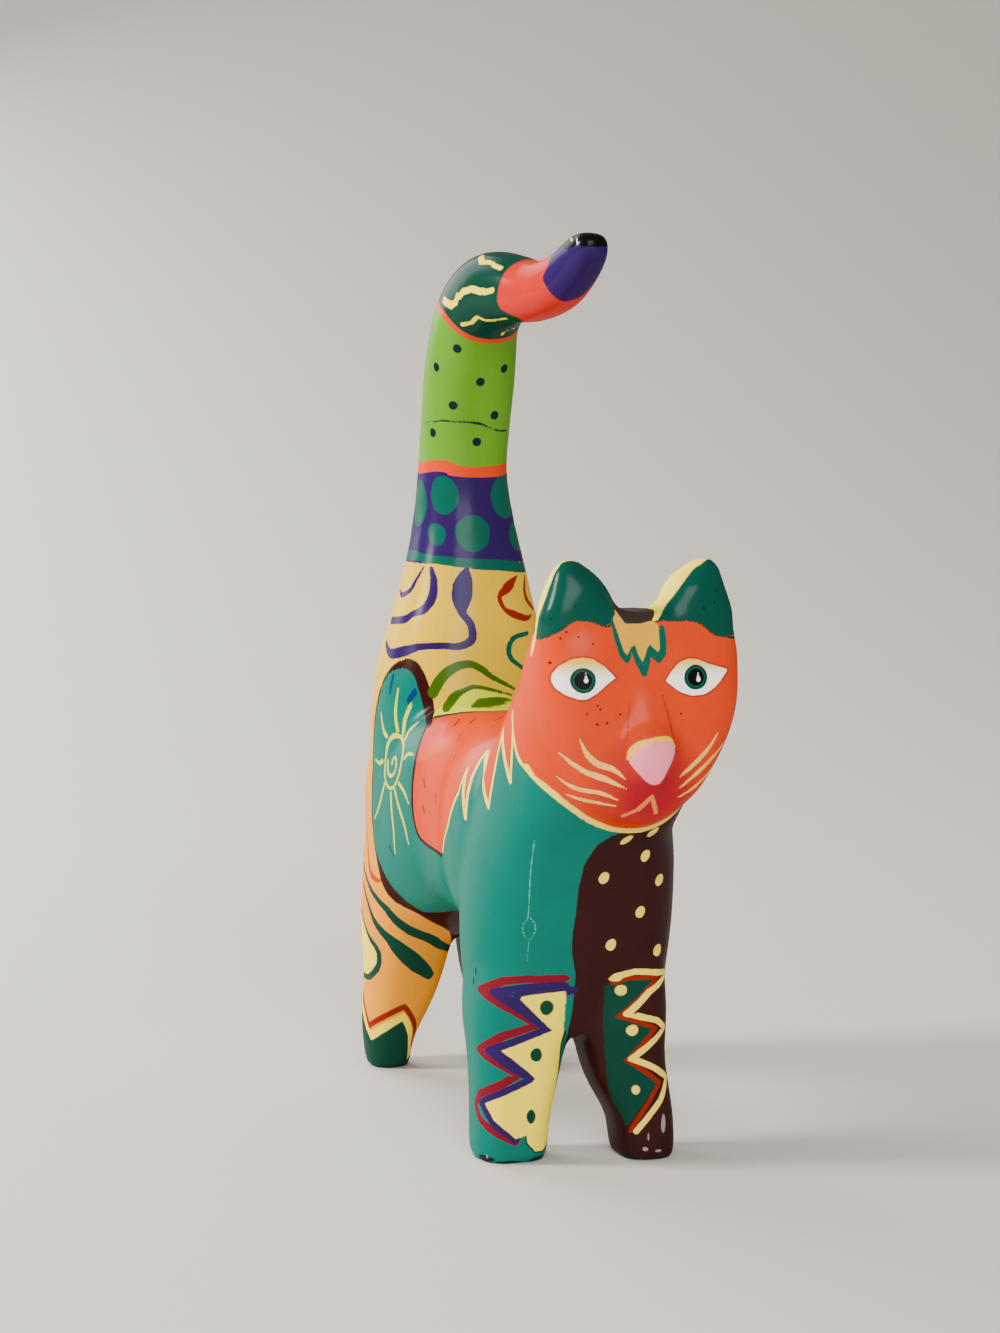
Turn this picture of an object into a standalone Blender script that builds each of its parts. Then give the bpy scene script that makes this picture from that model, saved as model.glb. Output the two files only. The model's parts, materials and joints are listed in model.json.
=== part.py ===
"""A painted papier-mache cat that stands on four stiff legs, with its tail held high.

The cat is one moulded piece. It is drawn in millimetres as a handful of overlapping limbs, each a
loft of rounded sections along a smooth line, and the limbs are then fused, softened and cut flat
under the feet. It faces -Y, stands on z = 0, and its origin is below the middle of its box.
"""

import math

import bmesh
import bpy
from mathutils import Vector

MM = 0.001

# Stance: where the feet stand and how thick the legs are
FRONT_FEET_Y = -30.0
FRONT_STRIDE = 2.5
HIND_FEET_Y = 60.5
FRONT_FEET_SPREAD = 25.5
HIND_FEET_SPREAD = 26.6
RIGHT_FRONT_FOOT_WIDTH = 14.6
LEFT_FRONT_FOOT_WIDTH = 11.8
FRONT_FOOT_DEPTH = 16.0
HIND_FOOT_WIDTH = 9.6
HIND_FOOT_DEPTH = 13.0
FRONT_CROTCH_HEIGHT = 23.0
HIND_CROTCH_HEIGHT = 21.0
SOLE_TRIM = 2.5

# Trunk
CHEST_WIDTH = 40.5
CHEST_DEPTH = 34.0
CHEST_SHIFT = -1.6
WAIST_WIDTH = 33.0
HAUNCH_WIDTH = 39.2
BACK_HEIGHT = 82.0
BELLY_HEIGHT = 38.0
RUMP_BACK_Y = 68.5

# Head
HEAD_WIDTH = 38.0
HEAD_DEPTH = 20.0
CHIN_HEIGHT = 67.5
BROW_HEIGHT = 107.0
EAR_TIP_HEIGHT = 114.4
EARS_SHIFT = 1.9
EAR_SPACING = 23.0
EAR_LEANS = {-1: -1.8, 1: 1.6}
EAR_BASE_WIDTH = 14.4
EAR_THICKNESS = 9.0
FACE_Y = -66.0
HEAD_SHIFT = 2.6
NOSE_HEIGHT = 80.5
NOSE_WIDTH = 8.6
NOSE_REACH = 3.4
NOSE_THICKNESS = 6.0
BRIDGE_WIDTH = 7.0
BRIDGE_LENGTH = 20.0
BRIDGE_THICKNESS = 10.0

# Tail
TAIL_WIDTH = 18.6
TAIL_LINE_Y = 47.5
TAIL_CREST_HEIGHT = 175.8
TAIL_REACH = 45.0
TAIL_SWAY = 11.3
TAIL_TIP_HEIGHT = 178.6
TAIL_TIP_WIDTH = 8.0

# How the surface is made
RING_POINTS = 32
RINGS_PER_STATION = 5
VOXEL = 1.1
SOFTENING_PASSES = 9
TRIANGLES = 9400
GROUND_SIZE = (300.0, 300.0, 20.0)
CLAY = (0.78, 0.36, 0.16, 1.0)


def smooth(a, b, c, d, t):
    """A Catmull-Rom curve through b and c, for t from 0 to 1."""
    return [
        0.5 * (2 * q + (r - p) * t + (2 * p - 5 * q + 4 * r - s) * t * t + (3 * q - p - 3 * r + s) * t**3)
        for p, q, r, s in zip(a, b, c, d)
    ]


def between_stations(stations):
    """The stations with more read between them, so that a limb's outline has no corners."""
    ends = [stations[0], *stations, stations[-1]]
    rings = []
    for i in range(len(stations) - 1):
        for step in range(RINGS_PER_STATION):
            rings.append(smooth(*ends[i : i + 4], step / RINGS_PER_STATION))
    return rings + [list(stations[-1])]


def rounded(angle, squareness):
    """A point on a rounded square: squareness 2 is a circle, and more makes the sides flatter."""
    power = 2 / squareness
    c, s = math.cos(angle), math.sin(angle)
    return math.copysign(abs(c) ** power, c), math.copysign(abs(s) ** power, s)


def add_limb(bm, stations, squareness=2.3, level=False):
    """Lofts one limb through stations of x, y, z, half width and half thickness, in millimetres.

    Its rings stand across the limb's line, or all lie level.
    """
    rings = between_stations(stations)
    centres = [Vector(ring[:3]) for ring in rings]
    loops = []
    for i, (centre, ring) in enumerate(zip(centres, rings)):
        along = (centres[min(i + 1, len(rings) - 1)] - centres[max(i - 1, 0)]).normalized()
        if level:
            along = Vector((0, 0, 1))
        side = (Vector((1, 0, 0)) - along * along.x).normalized()
        front = along.cross(side)
        loop = []
        for k in range(RING_POINTS):
            across, deep = rounded(2 * math.pi * k / RING_POINTS, squareness)
            place = centre + side * across * ring[3] + front * deep * ring[4]
            loop.append(bm.verts.new(place * MM))
        loops.append(loop)
    for lower, upper in zip(loops, loops[1:]):
        for k in range(RING_POINTS):
            n = (k + 1) % RING_POINTS
            bm.faces.new((lower[k], lower[n], upper[n], upper[k]))
    bm.faces.new(loops[0][::-1])
    bm.faces.new(loops[-1])


def add_trunk(bm):
    """The barrel from the chest to the rump, deepest at the haunch and drawn in at the waist."""
    chest, waist, haunch = CHEST_WIDTH / 2, WAIST_WIDTH / 2, HAUNCH_WIDTH / 2
    middle = (BACK_HEIGHT + BELLY_HEIGHT) / 2
    half = (BACK_HEIGHT - BELLY_HEIGHT) / 2
    length = RUMP_BACK_Y - FRONT_FEET_Y
    # Each row: how far along, share of the chest's shift, how far down, half width and half height.
    # The third and the last are shares of half the trunk's height.
    rows = (
        (-0.041, 1.0, 0.0, chest * 0.80, 0.82),
        (0.061, 1.0, 0.0, chest * 0.98, 1.0),
        (0.183, 0.7, 0.0, chest * 0.98, 1.02),
        (0.355, 0.0, 0.0, waist * 1.04, 1.0),
        (0.508, 0.0, 0.0, waist, 1.0),
        (0.614, 0.0, 0.0, haunch * 0.94, 1.05),
        (0.797, 0.0, 0.136, haunch, 1.227),
        (0.909, 0.0, 0.227, haunch * 0.94, 1.136),
        (0.964, 0.0, 0.227, haunch * 0.78, 0.91),
        (0.992, 0.0, 0.227, haunch * 0.52, 0.59),
        (1.0, 0.0, 0.227, haunch * 0.18, 0.2),
    )
    stations = [
        (CHEST_SHIFT * shift, FRONT_FEET_Y + along * length, middle - down * half, wide, tall * half)
        for along, shift, down, wide, tall in rows
    ]
    add_limb(bm, stations, squareness=2.5)


def add_chest_and_neck(bm):
    """The full chest, rising from between the front legs and leaning forwards into the neck."""
    chest, head = CHEST_WIDTH / 2, HEAD_WIDTH / 2
    rise = BACK_HEIGHT - FRONT_CROTCH_HEIGHT
    reach = FRONT_FEET_Y - FACE_Y
    # Each row: how far up, how far forwards, sideways shift, half width, share of half the depth
    rows = (
        (0.017, -0.028, CHEST_SHIFT, chest * 0.86, 0.59),
        (0.203, -0.056, CHEST_SHIFT, chest * 0.96, 0.85),
        (0.407, -0.028, CHEST_SHIFT, chest * 1.0, 0.97),
        (0.610, 0.056, CHEST_SHIFT, chest * 0.97, 1.0),
        (0.797, 0.194, CHEST_SHIFT, chest * 0.88, 1.0),
        (0.966, 0.375, HEAD_SHIFT * 0.1, head * 0.94, 1.0),
        (1.102, 0.542, HEAD_SHIFT * 0.3, head * 0.93, 0.88),
        (1.169, 0.611, HEAD_SHIFT * 0.5, head * 0.82, 0.74),
    )
    deepest = CHEST_DEPTH / 2
    stations = [
        (shift, FRONT_FEET_Y - forwards * reach, FRONT_CROTCH_HEIGHT + up * rise, wide, deep * deepest)
        for up, forwards, shift, wide, deep in rows
    ]
    add_limb(bm, stations, squareness=2.5)


def add_front_leg(bm, side, foot_width):
    """A front leg, which widens inwards as it rises to the chest."""
    half_spread = FRONT_FEET_SPREAD / 2
    wide, deep = foot_width / 2, FRONT_FOOT_DEPTH / 2
    trunk_middle = (BACK_HEIGHT + BELLY_HEIGHT) / 2
    if side < 0:
        leans, spreads = (0.0, 0.016, 0.07, 0.11, 0.22), (1.0, 1.05, 1.22, 1.44, 1.25)
    else:
        leans, spreads = (0.0, 0.06, 0.31, 0.37, 0.39), (1.0, 1.06, 1.37, 1.5, 1.2)
    heights = (0.065, 0.4, 0.84, 1.35, 2.2)
    depths = (0.95, 1.03, 1.14, 1.3, 1.2)
    foot_y = FRONT_FEET_Y - side * FRONT_STRIDE
    stations = [(side * half_spread, foot_y, -SOLE_TRIM, wide * 0.78, deep * 0.76)]
    for share, lean, spread, depth in zip(heights, leans, spreads, depths):
        height = share * FRONT_CROTCH_HEIGHT
        stride = FRONT_STRIDE * (1 - height / trunk_middle)
        y = FRONT_FEET_Y - side * stride - height * 0.02
        x = side * half_spread * (1 - lean)
        stations.append((x, y, height, wide * spread * 0.97, deep * depth))
    add_limb(bm, stations, squareness=2.9)


def add_hind_leg(bm, side):
    """A hind leg: a broad flat thigh that tapers to a small foot under its back edge."""
    x = side * HIND_FEET_SPREAD / 2
    wide, deep = HIND_FOOT_WIDTH / 2, HIND_FOOT_DEPTH / 2
    # Each row: height as a share of the crotch's, how far out, how far forwards, and shares of
    # the foot's half width and half depth
    rows = (
        (-SOLE_TRIM / HIND_CROTCH_HEIGHT, 1.0, -0.08, 0.76, 0.76),
        (0.07, 1.0, 0.0, 0.97, 0.95),
        (0.42, 0.99, 0.15, 1.2, 1.15),
        (0.95, 0.83, 0.46, 1.64, 1.5),
        (1.6, 0.77, 0.92, 1.98, 2.0),
        (2.5, 0.66, 1.31, 2.1, 2.4),
        (3.4, 0.55, 1.38, 2.0, 2.2),
    )
    stations = [
        (x * out, HIND_FEET_Y - forwards * deep, up * HIND_CROTCH_HEIGHT, wide * across, deep * depth)
        for up, out, forwards, across, depth in rows
    ]
    add_limb(bm, stations, squareness=2.6)


def add_head(bm):
    """The shield-shaped head: flat in front, wide at the brow and narrow at the chin."""
    tall = BROW_HEIGHT - CHIN_HEIGHT
    stations = []
    half_wide, half_deep = HEAD_WIDTH / 2, HEAD_DEPTH / 2
    # Each row: how far up, share of the head's width, and setback and thickness as shares of its depth
    for up, wide, setback, thick in (
        (0.0, 0.14, 0.425, 0.35),
        (0.03, 0.30, 0.32, 0.55),
        (0.09, 0.48, 0.20, 0.8),
        (0.17, 0.64, 0.10, 1.05),
        (0.29, 0.79, 0.03, 1.25),
        (0.42, 0.925, 0.0, 1.35),
        (0.56, 1.01, 0.01, 1.3),
        (0.70, 1.02, 0.03, 1.15),
        (0.84, 0.99, 0.05, 0.95),
        (0.94, 0.925, 0.08, 0.85),
        (1.0, 0.74, 0.14, 0.7),
    ):
        y = FACE_Y + (setback + thick / 2) * HEAD_DEPTH
        height = CHIN_HEIGHT + up * tall
        stations.append((HEAD_SHIFT, y, height, wide * half_wide, thick * half_deep))
    add_limb(bm, stations, squareness=4.2, level=True)


def add_ear(bm, side):
    """A thick pricked ear that stands on the brow."""
    x = EARS_SHIFT + side * EAR_SPACING / 2
    tall = EAR_TIP_HEIGHT - BROW_HEIGHT
    stations = []
    # Each row: how far up, shares of the ear's width and thickness, share of its lean
    for up, wide, thick, lean in (
        (-0.9, 1.0, 1.35, -0.2),
        (-0.2, 1.02, 1.15, -0.1),
        (0.3, 0.92, 1.15, 0.1),
        (0.65, 0.72, 1.0, 0.5),
        (0.93, 0.46, 0.8, 0.9),
        (1.08, 0.2, 0.45, 1.0),
    ):
        y = FACE_Y + 0.1 * HEAD_DEPTH + thick * EAR_THICKNESS / 2 - up * EAR_THICKNESS * 0.04
        across = x + EAR_LEANS[side] * lean
        half_wide, half_thick = wide * EAR_BASE_WIDTH / 2, thick * EAR_THICKNESS / 2
        stations.append((across, y, BROW_HEIGHT + up * tall, half_wide, half_thick))
    add_limb(bm, stations, squareness=3.0)


def add_muzzle(bm):
    """The broad wedge down the middle of the face, and the flat three-cornered nose on it."""
    wedge = []
    # Each row: how far up the bridge from the nose, share of its width, share of the nose's reach
    for up, wide, rise in (
        (1.0, 0.8, -0.76),
        (0.7, 0.95, -0.18),
        (0.4, 1.15, 0.21),
        (0.125, 1.55, 0.47),
        (-0.15, 2.4, 0.35),
        (-0.325, 2.4, -0.12),
        (-0.475, 1.8, -1.06),
    ):
        y = FACE_Y + BRIDGE_THICKNESS / 2 - rise * NOSE_REACH
        height = NOSE_HEIGHT + up * BRIDGE_LENGTH
        wedge.append((HEAD_SHIFT, y, height, wide * BRIDGE_WIDTH / 2, BRIDGE_THICKNESS / 2))
    add_limb(bm, wedge, squareness=2.6)
    half_wide, half_thick = NOSE_WIDTH / 2, NOSE_THICKNESS / 2
    nose = []
    # Each row: how far up in nose widths, share of the nose's width, share of its reach
    for up, wide, rise in (
        (0.465, 0.75, -0.235),
        (0.325, 1.05, -0.03),
        (0.06, 0.98, 0.0),
        (-0.29, 0.68, -0.09),
        (-0.535, 0.36, -0.35),
    ):
        y = FACE_Y - (1 + rise) * NOSE_REACH + half_thick
        nose.append((HEAD_SHIFT, y, NOSE_HEIGHT + up * NOSE_WIDTH, wide * half_wide, half_thick))
    add_limb(bm, nose, squareness=3.2)


def add_tail(bm):
    """The tail, which grows out of the rump, rises, and bows forwards with its tip turned up."""
    haunch, wide = HAUNCH_WIDTH / 2, TAIL_WIDTH / 2
    crest = TAIL_CREST_HEIGHT - 0.97 * wide
    climb, curl = crest - BACK_HEIGHT, TAIL_TIP_HEIGHT - crest
    # The rise. Each row: how far up, how far forwards, share of the sway, half width, and depth as a
    # share of half the tail's width
    rise = (
        (-0.354, -0.022, 0.0, haunch * 0.97, 2.04),
        (-0.165, -0.022, 0.0, haunch * 0.98, 2.04),
        (0.0, -0.011, 0.0, haunch * 0.96, 1.94),
        (0.142, 0.0, 0.03, haunch * 0.85, 1.72),
        (0.283, 0.007, 0.05, haunch * 0.69, 1.46),
        (0.436, 0.0, 0.03, wide * 1.15, 1.20),
        (0.566, 0.011, 0.0, wide * 1.0, 1.08),
        (0.696, 0.044, 0.03, wide * 1.01, 1.03),
        (0.805, 0.111, 0.03, wide * 1.03, 1.01),
        (0.935, 0.222, 0.03, wide * 0.95, 0.97),
    )
    # The bow, in the same order, but with heights as shares of the tip's curl above the crest
    bow = (
        (0.0, 0.411, 0.12, wide * 0.88, 0.90),
        (0.05, 0.6, 0.28, wide * 0.78, 0.77),
        (-0.017, 0.778, 0.50, wide * 0.66, 0.66),
        (0.119, 0.956, 0.72, wide * 0.59, 0.60),
        (0.458, 1.089, 0.90, wide * 0.51, 0.53),
        (0.712, 1.189, 0.95, TAIL_TIP_WIDTH / 2, 0.43),
        (0.915, 1.209, 0.96, TAIL_TIP_WIDTH * 0.36, 0.30),
    )
    heights = [BACK_HEIGHT + row[0] * climb for row in rise] + [crest + row[0] * curl for row in bow]
    stations = [
        (TAIL_SWAY * sway, TAIL_LINE_Y - forwards * TAIL_REACH, height, across, deep * wide)
        for height, (_, forwards, sway, across, deep) in zip(heights, rise + bow)
    ]
    add_limb(bm, stations, squareness=2.25)


def paint(obj):
    """One warm body colour: the painted pattern isn't part of the form."""
    material = bpy.data.materials.new("painted_papier_mache")
    material.use_nodes = True
    shader = material.node_tree.nodes["Principled BSDF"]
    shader.inputs["Base Color"].default_value = CLAY
    shader.inputs["Roughness"].default_value = 0.35
    shader.inputs["Metallic"].default_value = 0.0
    obj.data.materials.append(material)


def make_ground(collection):
    """The block that trims the soles flat at z = 0."""
    bpy.ops.mesh.primitive_cube_add(size=1)
    ground = bpy.context.object
    ground.name = "ground_cutter"
    ground.scale = Vector(GROUND_SIZE) * MM
    ground.location.z = -GROUND_SIZE[2] * MM / 2
    ground.hide_render = True
    ground.display_type = "WIRE"
    for owner in ground.users_collection:
        owner.objects.unlink(ground)
    collection.objects.link(ground)
    return ground


def box_middle(obj):
    """The middle of the finished cat's box, seen from above."""
    bpy.context.view_layer.update()
    finished = obj.evaluated_get(bpy.context.evaluated_depsgraph_get())
    corners = [Vector(corner) for corner in finished.bound_box]
    low = [min(corner[axis] for corner in corners) for axis in range(2)]
    high = [max(corner[axis] for corner in corners) for axis in range(2)]
    return Vector(((low[0] + high[0]) / 2, (low[1] + high[1]) / 2, 0))


def make_cat(collection, cutters):
    bm = bmesh.new()
    add_trunk(bm)
    add_chest_and_neck(bm)
    add_front_leg(bm, -1, RIGHT_FRONT_FOOT_WIDTH)
    add_front_leg(bm, 1, LEFT_FRONT_FOOT_WIDTH)
    for side in (-1, 1):
        add_hind_leg(bm, side)
        add_ear(bm, side)
    add_head(bm)
    add_muzzle(bm)
    add_tail(bm)
    bmesh.ops.recalc_face_normals(bm, faces=bm.faces)
    mesh = bpy.data.meshes.new("cat")
    bm.to_mesh(mesh)
    bm.free()
    cat = bpy.data.objects.new("cat", mesh)
    collection.objects.link(cat)

    fuse = cat.modifiers.new("fuse_limbs", "REMESH")
    fuse.mode = "VOXEL"
    fuse.voxel_size = VOXEL * MM
    soften = cat.modifiers.new("soften_joins", "SMOOTH")
    soften.factor = 0.5
    soften.iterations = round(SOFTENING_PASSES)
    bpy.context.view_layer.update()
    fused = cat.evaluated_get(bpy.context.evaluated_depsgraph_get())
    thin = cat.modifiers.new("fewer_faces", "DECIMATE")
    thin.ratio = min(1.0, TRIANGLES / (2 * len(fused.data.polygons)))
    trim = cat.modifiers.new("flat_soles", "BOOLEAN")
    trim.operation = "DIFFERENCE"
    trim.object = make_ground(cutters)
    cat.location = -box_middle(cat)
    paint(cat)
    return cat


def main():
    for obj in list(bpy.data.objects):
        bpy.data.objects.remove(obj)
    parts = bpy.data.collections.new("papier_mache_cat")
    cutters = bpy.data.collections.new("cutters")
    bpy.context.scene.collection.children.link(parts)
    bpy.context.scene.collection.children.link(cutters)
    make_cat(parts, cutters)


main()
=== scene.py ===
# %% [markdown]
# # A painted papier-mache cat
#
# The real cat is one moulded shell of paper and paste. It was primed, painted in flat bright colours
# and varnished, so its whole look is in the paint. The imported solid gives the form. This notebook
# lays a finer skin over that form, draws the pattern on it in layers, and lights it as in a studio.

import json
import math

import bpy
import numpy as np
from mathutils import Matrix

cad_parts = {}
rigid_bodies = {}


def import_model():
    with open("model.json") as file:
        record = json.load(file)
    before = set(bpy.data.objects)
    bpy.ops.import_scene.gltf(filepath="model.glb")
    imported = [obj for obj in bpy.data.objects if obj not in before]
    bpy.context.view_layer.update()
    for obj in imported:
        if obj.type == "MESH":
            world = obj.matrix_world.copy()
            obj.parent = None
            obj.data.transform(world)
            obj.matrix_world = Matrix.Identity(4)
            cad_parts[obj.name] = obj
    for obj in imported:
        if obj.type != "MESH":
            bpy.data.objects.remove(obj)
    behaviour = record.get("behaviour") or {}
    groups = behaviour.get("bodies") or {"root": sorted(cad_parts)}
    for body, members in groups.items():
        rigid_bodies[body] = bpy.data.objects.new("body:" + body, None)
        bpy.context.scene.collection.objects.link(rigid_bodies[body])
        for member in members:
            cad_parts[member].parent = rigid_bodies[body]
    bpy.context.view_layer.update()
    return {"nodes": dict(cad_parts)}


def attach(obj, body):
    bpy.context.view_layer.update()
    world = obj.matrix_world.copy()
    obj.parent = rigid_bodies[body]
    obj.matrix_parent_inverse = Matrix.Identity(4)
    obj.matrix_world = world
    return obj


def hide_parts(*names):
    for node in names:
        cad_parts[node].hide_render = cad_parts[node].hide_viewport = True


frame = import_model()

# %% [markdown]
# ## The skin
#
# The solid has fewer than ten thousand triangles, which would show as small flats in the varnish.
# A voxel remesh puts an even grid of small quads over it, and smoothing takes the flats away. The
# even grid also helps the painting, because each small quad will hold its own bit of pattern.

# %% A fine skin over the solid
MM = 0.001
GRID = 0.72 * MM
MERGE_DISTANCE = 0.01 * MM
SMOOTHING, SMOOTHING_SHARE = 8, 0.5


def apply(obj, kind, **settings):
    """Adds one modifier, sets it and applies it, as from the modifier panel."""
    modifier = obj.modifiers.new(kind.lower(), kind)
    for name, value in settings.items():
        setattr(modifier, name, value)
    bpy.context.view_layer.objects.active = obj
    bpy.ops.object.modifier_apply(modifier=modifier.name)


def copy_of_node(name):
    """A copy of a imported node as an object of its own, with its doubled points merged."""
    bpy.ops.object.select_all(action="DESELECT")
    node = frame["nodes"][name]
    node.select_set(True)
    bpy.context.view_layer.objects.active = node
    bpy.ops.object.duplicate()
    bpy.ops.object.parent_clear(type="CLEAR_KEEP_TRANSFORM")
    copy = bpy.context.object
    bpy.ops.object.mode_set(mode="EDIT")
    bpy.ops.mesh.select_all(action="SELECT")
    bpy.ops.mesh.remove_doubles(threshold=MERGE_DISTANCE)
    bpy.ops.object.mode_set(mode="OBJECT")
    return copy


skin = copy_of_node("cat")
skin.name = skin.data.name = "painted_cat"
apply(skin, "REMESH", mode="VOXEL", voxel_size=GRID)
apply(skin, "SMOOTH", factor=SMOOTHING_SHARE, iterations=SMOOTHING)
bpy.ops.object.shade_smooth()
print("skin:", len(skin.data.polygons), "quads")

# %% [markdown]
# ## Charts
#
# A painter turns the cat in the hand and works on one side at a time. A chart does the same: it lays
# part of the skin out flat, in millimetres, so that a line or a dot can be placed on it with two
# numbers. The face and chest are seen straight from the front, the flanks are unrolled from the
# trunk, the tail is unrolled along its bent axis, and each leg is unrolled from a post inside it.

# %% Every small quad of the skin, in millimetres
TRUNK_AXIS_HEIGHT = 60
TRUNK_RADIUS = 21
FRONT_LEG_RADIUS = 7.5
HIND_LEG_RADIUS = 11
RIGHT, LEFT = -1, 1
FRONT_POSTS = {RIGHT: (-12.5, -28), LEFT: (11.5, -32)}
HIND_POSTS = {RIGHT: (-13, 56), LEFT: (13, 56)}

# The tail's axis: y, height, x and the tail's radius there
TAIL_AXIS = (
    (48.5, 40, 0, 19), (48.2, 82, 0, 18.8), (48.1, 94, 0, 16.3), (47.9, 106, 0, 13.2),
    (48.1, 119, 0, 10.5), (47.6, 130, 0, 9.3), (46.1, 141, 0, 9.1), (43.1, 150.5, 0, 9.4),
    (38.1, 161.5, 0.3, 8.8), (29.6, 167, 1.3, 8.2), (21.1, 167.5, 3.0, 7.3), (13.1, 166.5, 5.3, 6.1),
    (5.1, 168, 7.6, 5.5), (-0.9, 172, 9.5, 4.8), (-5.4, 177, 10.6, 4), (-8, 183, 11, 3.5),
)

mesh = skin.data
flat_points = np.empty(len(mesh.vertices) * 3)
mesh.vertices.foreach_get("co", flat_points)
corner_points = np.empty(len(mesh.loops), dtype=np.int32)
mesh.loops.foreach_get("vertex_index", corner_points)
quads = flat_points.reshape(-1, 3)[corner_points.reshape(-1, 4)] / MM
middles = quads.mean(axis=1)
across, along, height = middles.T
normals = np.cross(quads[:, 2] - quads[:, 0], quads[:, 3] - quads[:, 1])
backwards = normals[:, 1] / np.linalg.norm(normals, axis=1)
print("quads to paint:", len(quads))


class Chart:
    """Part of the skin laid out flat: where each of its quads falls, in millimetres."""

    def __init__(self, unroll, where):
        self.quads = np.nonzero(where)[0]
        self.corners = unroll(quads[self.quads])
        self.middles = self.corners.mean(axis=1)

    def near(self, place, reach):
        return np.nonzero(np.abs(self.middles - place).max(axis=1) < reach)[0]


def from_front(points):
    return points[..., [0, 2]]


def from_side(points):
    return points[..., [1, 2]]


def unroll_flank(points):
    """The trunk unrolled to y and the way round it, which is 0 at the side and positive above."""
    turn = np.arctan2(points[..., 2] - TRUNK_AXIS_HEIGHT, np.abs(points[..., 0]))
    return np.stack([points[..., 1], TRUNK_RADIUS * turn], axis=-1)


def whole_quads(turn):
    """Keeps each quad's corners together where the unrolled sheet is cut at the back."""
    first = turn[:, :1]
    return first + (turn - first + math.pi) % (2 * math.pi) - math.pi


def leg_unroller(post, radius, outward):
    """Unrolls a leg from an upright post in it: 0 in front and positive on the outer side."""

    def unroll(points):
        turn = np.arctan2(outward * (points[..., 0] - post[0]), post[1] - points[..., 1])
        return np.stack([radius * whole_quads(turn), points[..., 2]], axis=-1)

    return unroll


def unroll_tail(points):
    """The rump and tail unrolled along the axis: 0 is the inside of the bend, and height becomes length."""
    nearest = np.full(points.shape[:-1], np.inf)
    turn = np.zeros(points.shape[:-1])
    length = np.zeros(points.shape[:-1])
    radius = np.zeros(points.shape[:-1])
    done = TAIL_AXIS[0][1]
    for (y0, z0, x0, r0), (y1, z1, x1, r1) in zip(TAIL_AXIS, TAIL_AXIS[1:]):
        start, step = np.array([x0, y0, z0]), np.array([x1 - x0, y1 - y0, z1 - z0])
        size = np.linalg.norm(step)
        way = step / size
        share = np.clip((points - start) @ way / size, 0, 1)
        away = points - start - share[..., None] * step
        side = np.array([1, 0, 0]) - way * way[0]
        side = side / np.linalg.norm(side)
        inside = np.cross(side, way)
        distance = np.linalg.norm(away, axis=-1)
        closer = distance < nearest
        nearest[closer] = distance[closer]
        turn[closer] = np.arctan2(away @ side, away @ inside)[closer]
        length[closer] = (done + share * size)[closer]
        radius[closer] = (r0 + share * (r1 - r0))[closer]
        done += size
    return np.stack([radius * whole_quads(turn), length], axis=-1)


# %% The charts of this cat
# All places are in millimetres. Where the face ends behind, seen from the side: y and height
FACE_END = ((-51, 76.6), (-49.4, 78.3), (-47.1, 80.7), (-45.8, 83.2), (-44.6, 85.4), (-43.8, 87.5))
# Where it ends below, seen from the front: x and height
JAW = (
    (-17.4, 80.9), (-16.6, 78.3), (-15.5, 76.3), (-13.8, 74.6), (-11.1, 72.2), (-7.7, 69.6), (-4.6, 67.8),
    (-1, 66.5), (2.5, 66), (5.2, 66.1), (8, 66.8), (11, 68.4), (14.2, 71.2), (17, 75.2), (18.6, 78.3),
    (19.6, 81),
)
# Below the first point of its end the face reaches back to this y
CHIN_BACK = -42
HEAD_TOP = 120
CHEST_BACK, CHEST_TOP = -20, 87
THROAT_BACK, THROAT_TOP = -45.5, 86
TAIL_BEND_HEIGHT = 130
# Where the rump is the tail's: behind a y and above a height
RUMP_STARTS = ((5, 84), (10, 62))
# A quad of the head that faces backwards by more than this is on its back
FACING_BACK = 0.25
JAW_LOW, JAW_TOP = 60, 79
CHEEK_BACK, CHEEK_LOW, CHEEK_TOP, CHEEK_INNER = -35, 77.8, 95, 12
EAR_BACK, EAR_LOW = -44, 97
EAR_INNER = {RIGHT: 10, LEFT: 14}
TIP_BACK, TIP_LOW = 12, 168
TRUNK_LOW = 26
FRONT_LEG_TOP, FRONT_LEG_INNER = 42, -1
HIND_LEG_TOP, HIND_LEG_FRONT = 52, 25


def behind_and_above(starts):
    """The quads behind and above any of these places, each a y and a height."""
    return np.any([(along > y) & (height > low) for y, low in starts], axis=0)


end_along, end_height = np.array(FACE_END[1:]).T
jaw_across, jaw_height = np.array(JAW).T
face_back = np.interp(height, end_height, end_along, left=CHIN_BACK)
in_face = (along < face_back) & (height > np.interp(across, jaw_across, jaw_height))
in_tail = behind_and_above(RUMP_STARTS) | (height > TAIL_BEND_HEIGHT)
in_front = ~in_face & (along < CHEST_BACK) & (height < CHEST_TOP)
in_throat = (along < THROAT_BACK) & (height < THROAT_TOP)
in_jaw = (along < CHIN_BACK) & (height > JAW_LOW) & (height < JAW_TOP)
in_cheeks = (height > CHEEK_LOW) & (height < CHEEK_TOP) & (np.abs(across) > CHEEK_INNER)

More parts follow.
